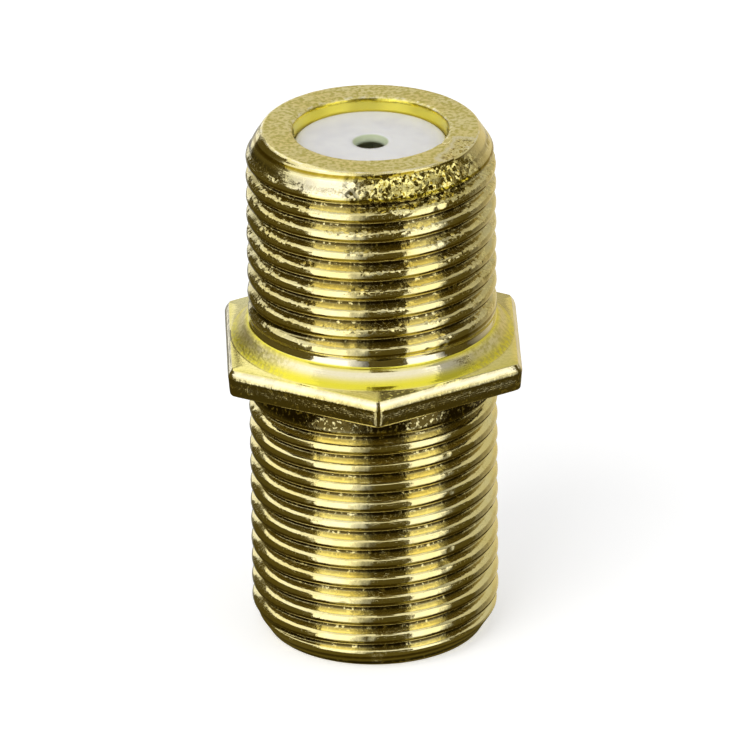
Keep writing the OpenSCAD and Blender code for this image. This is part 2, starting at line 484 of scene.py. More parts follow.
@dataclass(frozen=True)
class SpiralZone:
    """A threaded stretch of the barrel between two level rings, in millimetres.

    Four shares from 0 to 1 set its marks: the raggedness of the crest's upper edge, which is wear;
    painted shade on the last stretch below high; painted shade on the crest's underside; and painted
    shade on the upper flank above it. A span says how far below high that first painted shade starts
    and is full. A painted highlight lies on a patch of the upper lead-in cone, and the bruise is the
    knocked patch on it. fractions are the places of the rows within a pitch, closest together where
    the crest turns.
    """

    run: ThreadRun
    low: float
    high: float
    cone_z: float
    cone_end_r: float
    cone_slope: float
    end: End
    dents: tuple[Dent, ...]
    seed: int
    raggedness: float = 0.75
    # Painted shade on the last stretch below high.
    shade_below_high: float = 0.0
    # Painted shade on the crest's underside.
    tarnish: float = 0.0
    # Painted shade on the upper flank.
    flank_shade: float = 0.0
    shade_span: Span = (0.95, 0.5)
    worn_by: float = 0.005
    chip_depth: float = 0.035
    # Direction and half width of the painted highlight on the upper lead-in cone.
    highlight_deg: float = -110.0
    highlight_half_deg: float = 20.0
    bruise_deg: float = -66.0
    bruise_half_deg: float = 33.0
    cone_soft: float = 0.06
    snap: float = 0.014
    fractions: tuple[float, ...] = (
        0.0, 0.05, 0.2, 0.3, 0.37, 0.44, 0.5,
        0.57, 0.64, 0.69, 0.73, 0.8, 0.88, 0.95,
    )

    def surface(self, angle: np.ndarray, height: np.ndarray) -> tuple[np.ndarray, np.ndarray]:
        """Radius and marks of the worn thread.

        The radius is the crest's, less the groove, cut by the lead-in cone, less the chips of the
        crest's edge, the dents, the bruise and a small random wear of the crest.

        Args:
            angle: angles round the axis, in radians.
            height: heights along the axis.

        Returns:
            The radii, and the marks in the order of Mark along the last axis.
        """
        form = self.run.form
        share = self.run.share(angle, height)
        phase = self.run.phase(angle, height)
        wear = ring_noise(self.seed, 150, 0.2, angle, height)
        fine = ring_noise(self.seed + 1, 280, 0.1, angle, height)
        worn = self.worn_by + 0.004 * wear + 0.003 * fine
        radius = form.crest_r - form.depth * share - (1.0 - share) * worn
        radius = soft_min(radius, self.cone(height) + 0.004 * wear, self.cone_soft)
        chips = np.maximum(ring_noise(self.seed + 2, 130, 0.22, angle, height) - 0.1, 0.0)
        radius = radius - self.chip_depth * self.raggedness * CREST_EDGE.at(phase) * chips
        for dent in self.dents:
            radius = radius - dent.sink(angle, height, form.crest_r)
        struck, lumps = self.bruise(angle, height)
        return radius - lumps, self._marks(angle, height, share, struck)

    def cone(self, height: np.ndarray) -> np.ndarray:
        """Radius of the lead-in cone, which grows evenly from the end of the barrel inwards."""
        inwards = np.maximum((height - self.cone_z) * -self.end.value, 0.0)
        return self.cone_end_r + self.cone_slope * inwards

    def bruise(self, angle: np.ndarray, height: np.ndarray) -> tuple[np.ndarray, np.ndarray]:
        """The knocked patch on the upper end's first turns: two noises under a soft mask.

        Args:
            angle: angles round the axis, in radians.
            height: heights along the axis.

        Returns:
            The mask, from 0 to 1, and how far each place is knocked in.
        """
        if self.end is not End.UPPER:
            return np.zeros_like(angle), np.zeros_like(angle)
        inwards = self.cone_z - height
        mask = plateau(angle, self.bruise_deg, self.bruise_half_deg)
        mask = mask * smooth_step(0.08, 0.3, inwards)
        mask = mask * smooth_step(1.7, 1.0, inwards)
        coarse = ring_noise(self.seed + 5, 84, 0.36, angle, height)
        lumps = ring_noise(self.seed + 6, 170, 0.17, angle, height)
        sinking = 0.10 * np.maximum(coarse + 0.15, 0.0) + 0.05 * np.maximum(lumps, 0.0)
        return mask, mask * sinking

    def _marks(
        self,
        angle: np.ndarray,
        height: np.ndarray,
        share: np.ndarray,
        struck: np.ndarray,
    ) -> np.ndarray:
        """Surface marks: painted shade under the crest, a painted highlight on the cone, torn nicks,
        further painted shade and a painted yellow reflection.

        Args:
            angle: angles round the axis, in radians.
            height: heights along the axis.
            share: share of the full groove depth.
            struck: mask of the knocked patch.

        Returns:
            The marks in the order of Mark along the last axis.
        """
        phase = self.run.phase(angle, height)
        under = UNDER_CREST.at(phase)
        # Painted shade: the crest's underside turns towards the groove's dark brown.
        crest = 1.0 - 0.95 * under
        if self.end is End.UPPER:
            crest_r = self.run.form.crest_r
            on_cone = smooth_step(crest_r, crest_r - 0.08, self.cone(height))
            # Painted highlight on a patch of the lead-in cone, outside the knocked patch.
            highlight = on_cone * plateau(angle, self.highlight_deg, self.highlight_half_deg)
            crest = crest + 0.5 * highlight * (crest > 0.9) * (1.0 - struck)
        patches = 0.5 + 0.5 * ring_noise(self.seed + 3, 40, 0.5, angle, height)
        ragged = self.raggedness * CREST_EDGE.at(phase) * smooth_step(0.3, 0.7, patches)
        nicks = np.maximum(ragged, 2.0 * struck)
        from_root = np.minimum(phase, 1.0 - phase)
        # Painted shade in the roots of the groove.
        root = smooth_step(0.12, 0.07, from_root) * np.clip(share * 2.0, 0.0, 1.0)
        start, full = self.shade_span
        # Painted shade: the last stretch below high, the roots, the crest's underside and the upper
        # flank.
        shade_and_tarnish_share = np.maximum.reduce([
            self.shade_below_high * smooth_step(self.high - start, self.high - full, height),
            root,
            self.tarnish * under,
            self.flank_shade * UPPER_FLANK.at(phase),
        ])
        matte = np.full_like(share, 0.10)
        # The knocked patch takes a painted yellow reflection in the last mark.
        return np.stack([matte, crest, height, nicks, shade_and_tarnish_share, 0.3 * struck], axis=-1)


def hexagon_radius(angle: np.ndarray, across_flats: float, corner_soft: float = 0.05) -> np.ndarray:
    """Radius of a hexagon with flats towards +X, its corners eased.

    The radius is half the size across flats over cos(a), with a the angle from the nearest flat's
    middle; a soft minimum against a circle just inside the corners rounds them.

    Args:
        angle: angles round the axis, in radians.
        across_flats: size across the flats.
        corner_soft: how far the corners are drawn in.

    Returns:
        The radii.
    """
    off = (angle + math.pi / 6.0) % (math.pi / 3.0) - math.pi / 6.0
    sharp = across_flats / 2.0 / np.cos(off)
    corner = across_flats / 2.0 / math.cos(math.pi / 6.0)
    return soft_min(sharp, np.full_like(sharp, corner - 0.2 * corner_soft), corner_soft)


class NodeBoard:
    """Short hand for laying out the nodes of one material or world."""

    def __init__(self, owner: bpy.types.Material | bpy.types.World) -> None:
        """Clear the owner's nodes and keep its tree.

        Args:
            owner: the material or world.
        """
        owner.use_nodes = True
        self.tree = owner.node_tree
        self.tree.nodes.clear()

    def add(self, kind: str, inputs: dict | None = None, **settings: object) -> bpy.types.Node:
        """Add a node.

        Args:
            kind: type of the node.
            inputs: socket name or number to a constant or to an output socket.
            settings: the node's own properties.

        Returns:
            The node.
        """
        node = self.tree.nodes.new(kind)
        for name, value in settings.items():
            setattr(node, name, value)
        for key, value in (inputs or {}).items():
            self.feed(node.inputs[key], value)
        return node

    def feed(self, socket: bpy.types.NodeSocket, value: object) -> None:
        """Set an input to a constant, or link an output socket to it.

        Args:
            socket: the input.
            value: the constant or the output socket.
        """
        if isinstance(value, bpy.types.NodeSocket):
            self.tree.links.new(value, socket)
        else:
            socket.default_value = value

    def attribute(self, name: str) -> bpy.types.NodeSocket:
        """Value of a point attribute of the piece."""
        return self.add("ShaderNodeAttribute", attribute_name=name).outputs["Fac"]

    def place(self) -> bpy.types.NodeSocket:
        """The piece's own coordinates, in metres."""
        return self.add("ShaderNodeTexCoord").outputs["Object"]

    def noise(self, size_mm: float, detail: float = 2.0, vector: object = None) -> bpy.types.NodeSocket:
        """Random clouds.

        Args:
            size_mm: size of the main lumps.
            detail: number of finer layers.
            vector: where they are read; the piece's own coordinates by default.

        Returns:
            Their value, about 0.5 on the whole.
        """
        where = vector if vector is not None else self.place()
        scale = 1.0 / (size_mm * MM)
        inputs = {"Vector": where, "Scale": scale, "Detail": detail, "Roughness": 0.55}
        return self.add("ShaderNodeTexNoise", inputs).outputs["Fac"]

    def vector(self, operation: str, a: object, b: object) -> bpy.types.Node:
        """Node for the difference, dot product or the like of two vectors."""
        return self.add("ShaderNodeVectorMath", {0: a, 1: b}, operation=operation)

    def facets(self, size_mm: float) -> bpy.types.NodeSocket:
        """Random facets: in each cell a plane through its point, with a random tilt.

        Args:
            size_mm: size of the cells.

        Returns:
            The height, in shares of a cell's size.
        """
        grid = self.add("ShaderNodeVectorMath", {0: self.place()}, operation="SCALE")
        self.feed(grid.inputs["Scale"], 1.0 / (size_mm * MM))
        cells = self.add("ShaderNodeTexVoronoi", {"Vector": grid.outputs[0], "Scale": 1.0})
        off = self.vector("SUBTRACT", grid.outputs[0], cells.outputs["Position"])
        tilt = self.vector("SUBTRACT", cells.outputs["Color"], (0.5, 0.5, 0.5))
        return self.vector("DOT_PRODUCT", off.outputs[0], tilt.outputs[0]).outputs["Value"]

    def remap(self, value: object, start: Span, end: Span) -> bpy.types.NodeSocket:
        """Carry a value linearly from one range to another, clamped.

        Args:
            value: the value's socket.
            start: the range it is read in.
            end: the range it is carried to.

        Returns:
            The new value.
        """
        inputs = {
            "Value": value,
            "From Min": start[0],
            "From Max": start[1],
            "To Min": end[0],
            "To Max": end[1],
        }
        return self.add("ShaderNodeMapRange", inputs).outputs["Result"]

    def share(self, value: object, low: float, high: float) -> bpy.types.NodeSocket:
        """0 where a value is low to 1 where it is high, clamped."""
        return self.remap(value, (low, high), (0.0, 1.0))

    def math(self, operation: str, a: object, b: object) -> bpy.types.NodeSocket:
        """Result of a two-input sum, product or the like."""
        return self.add("ShaderNodeMath", {0: a, 1: b}, operation=operation).outputs["Value"]

    def mix(self, share: object, a: object, b: object) -> bpy.types.NodeSocket:
        """Blend two colours.

        Args:
            share: share of the second colour, from 0 to 1.
            a: first colour, as a constant or a socket.
            b: second colour.

        Returns:
            The blend.
        """
        node = self.add("ShaderNodeMix", data_type="RGBA")
        self.feed(node.inputs["Factor"], share)
        for socket, value in zip([s for s in node.inputs if s.type == "RGBA"], (a, b)):
            self.feed(socket, (*value, 1.0) if isinstance(value, tuple) else value)
        return next(s for s in node.outputs if s.type == "RGBA")

    def bump(self, height: object, depth_mm: float, below: object = None) -> bpy.types.NodeSocket:
        """Surface normal raised by a height of 0 to 1.

        Args:
            height: the height's socket.
            depth_mm: rise of a height of 1.
            below: normal that the relief lies on, if it is not the mesh's own.

        Returns:
            The normal.
        """
        inputs = {"Height": height, "Distance": depth_mm * MM, "Strength": 1.0}
        if below is not None:
            inputs["Normal"] = below
        return self.add("ShaderNodeBump", inputs).outputs["Normal"]

    def output(self, surface: bpy.types.NodeSocket) -> None:
        """Make this socket the material's surface."""
        self.add("ShaderNodeOutputMaterial", {"Surface": surface})

    def metal(self, colour: object, rough: object, normal: object) -> None:
        """Finish the material as a metal of this colour, roughness and normal."""
        inputs = {"Base Color": colour, "Roughness": rough, "Metallic": 1.0, "Normal": normal}
        self.output(self.add("ShaderNodeBsdfPrincipled", inputs).outputs["BSDF"])


@dataclass(frozen=True)
class GoldPlating:
    """Thin gold-coloured plate on turned brass: bright on the threads, matte on the worn faces.

    Its colours also carry painted shade, painted highlights and a painted yellow reflection, set
    by the body's marks. The _mm sizes are those of each pattern's main lumps, and the depths those
    of its relief, in millimetres too.
    """

    pale: Colour = (0.95, 0.86, 0.47)
    rich: Colour = (0.93, 0.80, 0.34)
    # Colour of the painted highlights.
    bright: Colour = (0.99, 0.91, 0.64)
    # Colour of the painted reflection of the gold in itself.
    reflected_yellow: Colour = (0.90, 0.80, 0.06)
    # Dark brown of the painted shade under the crest; the pits in the nicks take it too.
    groove: Colour = (0.42, 0.30, 0.015)
    # Near-black of the painted shade in the roots, undersides and under the flange, and of tarnish.
    shade_and_tarnish_tone: Colour = (0.09, 0.065, 0.015)
    worn: Colour = (0.66, 0.58, 0.15)
    polish: float = 0.07
    matte_rough: float = 0.42
    cloud_mm: float = 1.6
    fleck_mm: float = 0.16
    pit_mm: float = 0.1
    turning_mm: float = 0.07
    turning_depth: float = 0.003
    ripple_mm: float = 0.35
    ripple_depth: float = 0.005
    lump_mm: float = 0.13
    lump_depth: float = 0.02
    torn_mm: float = 0.15
    torn_depth: float = 0.055
    struck_mm: float = 0.34
    struck_depth: float = 0.16

    def material(self) -> bpy.types.Material:
        """Build the node material.

        Returns:
            The material.
        """
        made = bpy.data.materials.new("gold_plate_finish")
        board = NodeBoard(made)
        marks = {mark: board.attribute(mark.attribute) for mark in Mark}
        fleck = board.noise(self.fleck_mm, 3.0)
        rough = board.remap(marks[Mark.MATTE], (0.0, 1.0), (self.polish, self.matte_rough))
        rough = board.math("ADD", rough, board.remap(fleck, (0.4, 0.7), (0.0, 0.05)))
        board.metal(self._colour(board, marks, fleck), rough, self._relief(board, marks))
        return made

    def _colour(
        self,
        board: NodeBoard,
        marks: dict[Mark, bpy.types.NodeSocket],
        fleck: bpy.types.NodeSocket,
    ) -> bpy.types.NodeSocket:
        """Colour: the plate's tones with painted shade, painted highlights and a painted yellow
        reflection, then pits in the nicks, worn flecks, and painted shade and tarnish over them.

        Args:
            board: the material's board.
            marks: the surface marks' sockets.
            fleck: the noise that wear and tarnish share.

        Returns:
            The colour.
        """
        tone = board.mix(board.share(board.noise(self.cloud_mm), 0.35, 0.65), self.rich, self.pale)
        # Painted shade: where the painted-light mark is low, the tone turns to the groove's dark brown.
        tone = board.mix(board.share(marks[Mark.PAINTED_LIGHT], 0.05, 0.45), self.groove, tone)
        # Painted highlight: where the painted-light mark is above 1, the tone turns to the bright
        # colour.
        tone = board.mix(board.share(marks[Mark.PAINTED_LIGHT], 1.0, 1.4), tone, self.bright)
        # Painted yellow reflection of the gold in itself.
        tone = board.mix(marks[Mark.YELLOW_REFLECTION], tone, self.reflected_yellow)
        pits = board.remap(board.noise(self.pit_mm), (0.53, 0.6), (0.0, 0.6))
        tone = board.mix(board.math("MULTIPLY", marks[Mark.NICKS], pits), tone, self.groove)
        worn = board.math("MULTIPLY", marks[Mark.MATTE], board.share(fleck, 0.42, 0.6))
        colour = board.mix(worn, tone, self.worn)
        # Painted shade and tarnish darken the colour, spared in flecks.
        spared = board.remap(fleck, (0.56, 0.64), (1.0, 0.15))
        return board.mix(board.math("MULTIPLY", marks[Mark.SHADE_AND_TARNISH], spared), colour, self.shade_and_tarnish_tone)

    def _relief(
        self,
        board: NodeBoard,
        marks: dict[Mark, bpy.types.NodeSocket],
    ) -> bpy.types.NodeSocket:
        """Normal: turning lines, ripples, lumps where matte or under painted shade and tarnish, and
        facets in the nicks.

        Args:
            board: the material's board.
            marks: the surface marks' sockets.

        Returns:
            The normal.
        """
        run = board.math("MULTIPLY", marks[Mark.LATHE], MM)
        line = board.add("ShaderNodeCombineXYZ", {"X": 0.0, "Y": 0.0, "Z": run}).outputs["Vector"]
        normal = board.bump(board.noise(self.turning_mm, 1.0, line), self.turning_depth)
        normal = board.bump(board.noise(self.ripple_mm), self.ripple_depth, normal)
        shade_and_tarnish_share = board.math("MULTIPLY", marks[Mark.SHADE_AND_TARNISH], 0.4)
        rough = board.math("ADD", marks[Mark.MATTE], shade_and_tarnish_share)
        lumps = board.math("MULTIPLY", board.noise(self.lump_mm), rough)
        normal = board.bump(lumps, self.lump_depth, normal)
        torn = board.math("MULTIPLY", board.facets(self.torn_mm), marks[Mark.NICKS])
        normal = board.bump(torn, self.torn_depth, normal)
        heavy = board.share(marks[Mark.NICKS], 1.0, 2.0)
        struck = board.math("MULTIPLY", board.facets(self.struck_mm), heavy)
        return board.bump(struck, self.struck_depth, normal)


@dataclass(frozen=True)
class WhitePlastic:
    """Natural white insulating plastic, slightly see-through, with a soft sheen."""

    body: Colour = (0.98, 0.97, 0.96)
    shade: Colour = (0.84, 0.83, 0.86)
    # Painted shade inside the wire hole.
    hole: Colour = (0.56, 0.64, 0.40)
    scatter_mm: float = 0.5
    cloud_mm: float = 1.5
    cloud_depth: float = 0.05
    pore_mm: float = 0.12
    pore_depth: float = 0.006

    def material(self) -> bpy.types.Material:
        """Build the node material.

        Returns:
            The material.
        """
        made = bpy.data.materials.new("white_insulator_finish")
        board = NodeBoard(made)
        cloud = board.noise(self.cloud_mm)
        pores = board.noise(self.pore_mm, 3.0)
        colour = board.mix(board.share(cloud, 0.35, 0.7), self.body, self.shade)
        # Painted shade on the hole's rings.
        colour = board.mix(board.attribute("inside"), colour, self.hole)
        normal = board.bump(pores, self.pore_depth)
        normal = board.bump(cloud, self.cloud_depth, normal)
        shader = board.add(
            "ShaderNodeBsdfPrincipled",
            {
                "Base Color": colour,
                "Roughness": board.remap(pores, (0.3, 0.7), (0.28, 0.42)),
                "IOR": 1.5,
                "Subsurface Weight": 0.35,
                "Subsurface Radius": (1.0, 0.95, 0.85),
                "Subsurface Scale": self.scatter_mm * MM,
                "Normal": normal,
            },
        )
        board.output(shader.outputs["BSDF"])
        return made


@dataclass(frozen=True)
class SpringBronze:
    """Satin bronze strip, tarnished in streaks."""

    bright: Colour = (0.74, 0.56, 0.30)
    tarnish: Colour = (0.42, 0.28, 0.14)
    streak_mm: float = 0.9
    grain_mm: float = 0.08
    grain_depth: float = 0.003

    def material(self) -> bpy.types.Material:
        """Build the node material.

        Returns:
            The material.
        """
        made = bpy.data.materials.new("contact_metal_finish")
        board = NodeBoard(made)
        streak = board.noise(self.streak_mm, 4.0)
        colour = board.mix(board.share(streak, 0.45, 0.75), self.bright, self.tarnish)
        rough = board.remap(streak, (0.3, 0.7), (0.22, 0.4))
        board.metal(colour, rough, board.bump(board.noise(self.grain_mm), self.grain_depth))
        return made


def adopt(mesh: bpy.types.Mesh, finish: bpy.types.Material, slot: Slot, node: str) -> bpy.types.Object:
    """Put a finished mesh into the scene in place of a CAD node.

    Args:
        mesh: the mesh, in metres and in place.
        finish: its material.
        slot: the record's material slot.
        node: the CAD node it stands for.

    Returns:
        The new object.
    """
    mesh.materials.append(finish)
    piece = bpy.data.objects.new(mesh.name, mesh)
    bpy.context.scene.collection.objects.link(piece)
    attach(piece, RIDES_ON)
    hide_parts(node)
    counts = len(mesh.vertices), len(mesh.polygons)
    log.info("%s: %d vertices, %d faces, slot %s", piece.name, *counts, slot.value)
    return piece


@dataclass
class BarrelBody:
    """The turned body: two threaded barrels, the hexagonal flange between them and both mouths.

    Lengths, heights and radii are in millimetres. The crown's table has the share of the way up
    the crown, the painted-light mark, a painted highlight above 1, and the painted yellow reflection
    of each of its rings.
    """

    total: float
    seat_z: float
    land_z: float
    neck_top_z: float
    upper_cone_z: float
    lower_cone_z: float
    thread_r: float
    hex_af: float
    rim_r: float = 4.1
    mouth_r: float = 2.975
    mouth_depth: float = 0.55
    seat_r: float = 2.9
    seat_len: float = 2.6
    core_r: float = 2.5
    neck_r: float = 4.675
    neck_z: float = 12.67
    bevel_in: float = 0.16
    under_bevel: float = 0.12
    hex_side: float = 0.68
    bevel_len: float = 0.3
    upper_start_deg: float = 120.0
    lower_start_deg: float = 200.0
    groove_inset: float = 0.216875
    edge: float = 0.07
    notch_depth: float = 0.07
    front_corner_deg: float = -82.0
    # Painted highlights and painted yellow reflections of the crown's rings.
    crown_light: tuple[tuple[float, float, float], ...] = (
        (0.0, 1.0, 0.9),
        (0.12, 1.0, 1.0),
        (0.25, 1.0, 1.0),
        (0.4, 1.0, 0.75),
        (0.55, 1.2, 0.25),
        (0.7, 1.35, 0.0),
        (0.85, 1.35, 0.0),
        (1.0, 1.1, 0.5),
    )

    @classmethod
    def from_frame(cls) -> "BarrelBody":
        """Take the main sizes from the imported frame.

        Returns:
            The body, not built yet.
        """
        low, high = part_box("body")
        upper, lower = mount("upper_thread"), mount("lower_thread")
        upper_mid, lower_mid = upper["pos_m"][2] / MM, lower["pos_m"][2] / MM
        upper_half, lower_half = upper["dims"]["length_mm"] / 2, lower["dims"]["length_mm"] / 2
        return cls(
            total=(high[2] - low[2]) / MM,
            seat_z=mount("panel_seat")["pos_m"][2] / MM,
            land_z=lower_mid + lower_half,
            neck_top_z=upper_mid - upper_half,
            upper_cone_z=upper_mid + upper_half,
            lower_cone_z=lower_mid - lower_half,
            thread_r=upper["dims"]["r_mm"],
            hex_af=(high[0] - low[0]) / MM,
        )

    @property
    def face_low_z(self) -> float:
        """Foot of the hexagon's upright faces."""
        return self.seat_z + self.under_bevel

    @property
    def face_top_z(self) -> float:
        """Top of the hexagon's upright faces."""
        return self.face_low_z + self.hex_side

    @property
    def crown_z(self) -> float:
        """Foot of the turned crown, above the upper bevel."""
        return self.face_top_z + self.bevel_len

    @property
    def bevel_af(self) -> float:
        """Size across the flats where a bevel ends."""
        return self.hex_af - 2.0 * self.bevel_in

    def _rim_dents(self) -> tuple[Dent, ...]:
        """Nicks in the upper rim's flat face, their runs being radii.

        Returns:
            Five known ones and a seeded scatter of small ones.
        """
        known = (
            Dent(-26.0, 3.10, 0.16, 0.10, 2.2),
            Dent(-30.0, 3.55, 0.18, 0.05, 1.6),
            Dent(-35.0, 3.95, 0.24, 0.12, 1.8),
            Dent(90.0, 3.06, 0.06, 0.07, 1.2),
            Dent(-62.0, 4.02, 0.09, 0.04, 2.4),
        )
        small = scatter_dents(
            seed=WEAR_SEED + 7,
            count=26,
            angles=(0.0, 360.0),
            runs=(3.15, 4.05),
            reach=(0.03, 0.08),
            depth=(0.006, 0.02),
        )
        return (*known, *small)

    def _upper_dents(self) -> tuple[Dent, ...]:
        """Nicks in the upper barrel.

        Returns:
            A knocked patch on the first turns, and a few nicks elsewhere.
        """
        patch = scatter_dents(
            seed=WEAR_SEED,
            count=34,
            angles=(-96.0, -36.0),
            runs=(self.total - 1.6, self.total - 0.3),
            reach=(0.06, 0.15),
            depth=(0.02, 0.055),
        )
        rest = scatter_dents(
            seed=WEAR_SEED + 1,
            count=70,
            angles=(0.0, 360.0),
            runs=(self.neck_top_z, self.total - 0.2),
            reach=(0.05, 0.13),
            depth=(0.01, 0.035),
        )
        return (*patch, *rest)

    def _lower_dents(self) -> tuple[Dent, ...]:
        """Nicks in the lower barrel.

        Returns:
            The nicks, spread evenly.
        """
        spread = scatter_dents(
            seed=WEAR_SEED + 2,
            count=90,
            angles=(0.0, 360.0),
            runs=(0.3, self.land_z),
            reach=(0.05, 0.13),
            depth=(0.01, 0.03),
        )
        return tuple(spread)

    def _lower_spiral(self) -> SpiralZone:
        """The lower thread, which comes in through the rim and runs out below the land.

        Returns:
            The zone from the lower rim's edge to the land.
        """
        form = ThreadForm(crest_r=self.thread_r)
        return SpiralZone(
            run=ThreadRun(
                form=form,
                from_z=-form.pitch,
                start_deg=self.lower_start_deg,
                turns=(self.land_z - self.groove_inset) / form.pitch + 1.0,
                fade_in=0.0,
                fade_out=0.4,
            ),
            low=self.edge,
            high=self.land_z,
            cone_z=0.0,
            cone_end_r=self.rim_r,
            cone_slope=(self.thread_r - self.rim_r) / self.lower_cone_z,
            end=End.LOWER,
            raggedness=0.15,
            # Painted shade under the flange and on the crest's underside.
            shade_below_high=1.0,
            tarnish=0.45,
            dents=self._lower_dents(),
            seed=WEAR_SEED + 11,
        )

    def _upper_spiral(self) -> SpiralZone:
        """The upper thread, which runs out above the neck and on the lead-in cone.

        Returns:
            The zone from the neck to the upper rim's edge.
        """
        form = ThreadForm(crest_r=self.thread_r)
        from_z = self.neck_top_z + self.groove_inset
        return SpiralZone(
            run=ThreadRun(
                form=form,
                from_z=from_z,
                start_deg=self.upper_start_deg,
                turns=(self.total - 0.5 - from_z) / form.pitch,
                fade_in=0.4,
                fade_out=0.57,
            ),
            low=self.neck_top_z,
            high=self.total - self.edge,
            cone_z=self.total,
            cone_end_r=self.rim_r,
            cone_slope=(self.thread_r - self.rim_r) / (self.total - self.upper_cone_z),
            end=End.UPPER,
            # Painted shade on the crest's underside and on the upper flank.
            tarnish=0.15,
            flank_shade=0.32,
            dents=self._upper_dents(),
            seed=WEAR_SEED + 21,
        )

    @staticmethod
    def _level_marks(matte: np.ndarray, lathe: np.ndarray) -> np.ndarray:
        """Marks of a stretch without thread: the plain tone, and no nicks, painted shade, tarnish or
        painted yellow reflection.
        """
        none = np.zeros_like(matte)
        return np.stack([matte, none + 1.0, lathe, none, none, none], axis=-1)

    def _turned(self, skin: RingSkin, profile: list[tuple[float, float, float]]) -> None:
        """Add level round rings, with turning lines along the length of their section.

        Args:
            skin: the skin that takes them.
            profile: radius, height and matte mark of each ring.
        """
        table = np.array(profile)
        shape = (len(table), skin.columns)
        radius = np.broadcast_to(table[:, :1], shape).copy()
        height = np.broadcast_to(table[:, 1:2], shape).copy()
        steps = np.hypot(np.diff(table[:, 0]), np.diff(table[:, 1]))
        run = np.concatenate([[0.0], np.cumsum(steps)])
        lathe = np.broadcast_to(run[:, None] + 40.0, shape)
        marks = self._level_marks(np.broadcast_to(table[:, 2:3], shape), lathe)
        skin.add_rings(radius, height, marks)

    def _rim_section(self) -> tuple[np.ndarray, np.ndarray, np.ndarray]:
        """Section of a rim, from the barrel's edge over the flat face into the mouth.

        Returns:
            The radii, the depths behind the end of the barrel and the matte marks.
        """
        e, out = self.edge, self.rim_r
        mouth, seat = self.mouth_r, self.seat_r
        flat = np.linspace(out - 1.1 * e, mouth + 0.09, 10)
        level = np.zeros_like(flat)
        radius = np.concatenate([
            [out - 0.1 * e, out - 0.45 * e],
            flat,
            [mouth + 0.04, mouth - 0.01, mouth - 0.035, seat + 0.025, seat + 0.005, seat],
        ])
        depth = np.concatenate([
            [0.35 * e, 0.1 * e],
            level,
            [0.02, 0.06, 0.1, 0.3, 0.5, self.mouth_depth],
        ])
        matte = np.concatenate([[0.1, 0.35], level + 1.0, [1.0, 0.8, 0.4, 0.0, 0.0, 0.0]])
        return radius, depth, matte

    @staticmethod
    def _notch(angle: np.ndarray, radius: np.ndarray) -> np.ndarray:
        """The notch knocked into the rim: a band of angles, cut off inwards along a slant.

        Args:
            angle: angles round the axis, in radians.
            radius: radii on the rim's face.

        Returns:
            0 outside the notch to 1 on its floor.
        """
        degrees = np.degrees(angle_from(angle, 0.0))
        across = Band((-56.0, -44.0), (-20.0, -15.0)).at(degrees)
        return across * smooth_step(3.3, 3.65, radius + 0.012 * (degrees + 30.0))

    def _rim(self, skin: RingSkin, end: End) -> None:
        """Add one rim: its section turned round the axis, then worn.

        The face is roughened and its edges wander a little. The mouth's lip takes painted highlights
        and its inner wall a painted yellow reflection. The upper rim also has dents and a notch whose
        bright verge is a painted highlight.

        Args:
            skin: the skin that takes it.
            end: which end it closes.
        """
        section_r, depth, matte = self._rim_section()
        shape = (len(depth), skin.columns)
        angle = np.broadcast_to(skin.angles(), shape)
        radius = np.broadcast_to(section_r[:, None], shape)
        depth, matte = depth[:, None], matte[:, None]
        worn = matte > 0.3
        rough = ring_noise(WEAR_SEED + 31, 96, 0.14, angle, radius)
        sink = np.broadcast_to(depth, shape) + 0.006 * (1.0 + rough) * worn
        knocks, notch = np.zeros(shape), np.zeros(shape)
        if end is End.UPPER:
            mid_r = 3.7
            knocks = sum(dent.sink(angle, radius, mid_r) for dent in self._rim_dents()) * worn
            notch = self._notch(angle, radius)
            sink = sink + knocks + self.notch_depth * notch * (depth < 0.03)
        verge = NOTCH_VERGE.at(notch)
        lip = (depth > 0.01) & (depth < 0.09)
        clean = 1.0 - 0.8 * smooth_step(0.012, 0.04, knocks)
        marks = self._level_marks(np.broadcast_to(matte, shape), radius + 60.0)
        marks[..., Mark.MATTE] = matte * clean * (1.0 - 0.9 * np.maximum(verge, notch))
        # Painted highlights in specks along the mouth's lip, and on the notch's verge.
        lip_highlights = 1.0 + 0.6 * np.clip(3.0 * rough, 0.0, 1.0)
        marks[..., Mark.PAINTED_LIGHT] = np.where(lip, lip_highlights, 1.0 + 0.35 * verge)
        marks[..., Mark.NICKS] = 1.8 * smooth_step(0.5, 0.9, notch)
        # Painted yellow reflection on the mouth's inner wall.
        marks[..., Mark.YELLOW_REFLECTION] = np.where(depth > 0.09, 0.8, 0.0)
        wobble = 0.012 * ring_noise(WEAR_SEED + 32, 60, 0.5, angle, radius) * worn
        if end is End.UPPER:
            skin.add_rings(radius + wobble, self.total - sink, marks)
        else:
            skin.add_rings((radius + wobble)[::-1], sink[::-1], marks[::-1])

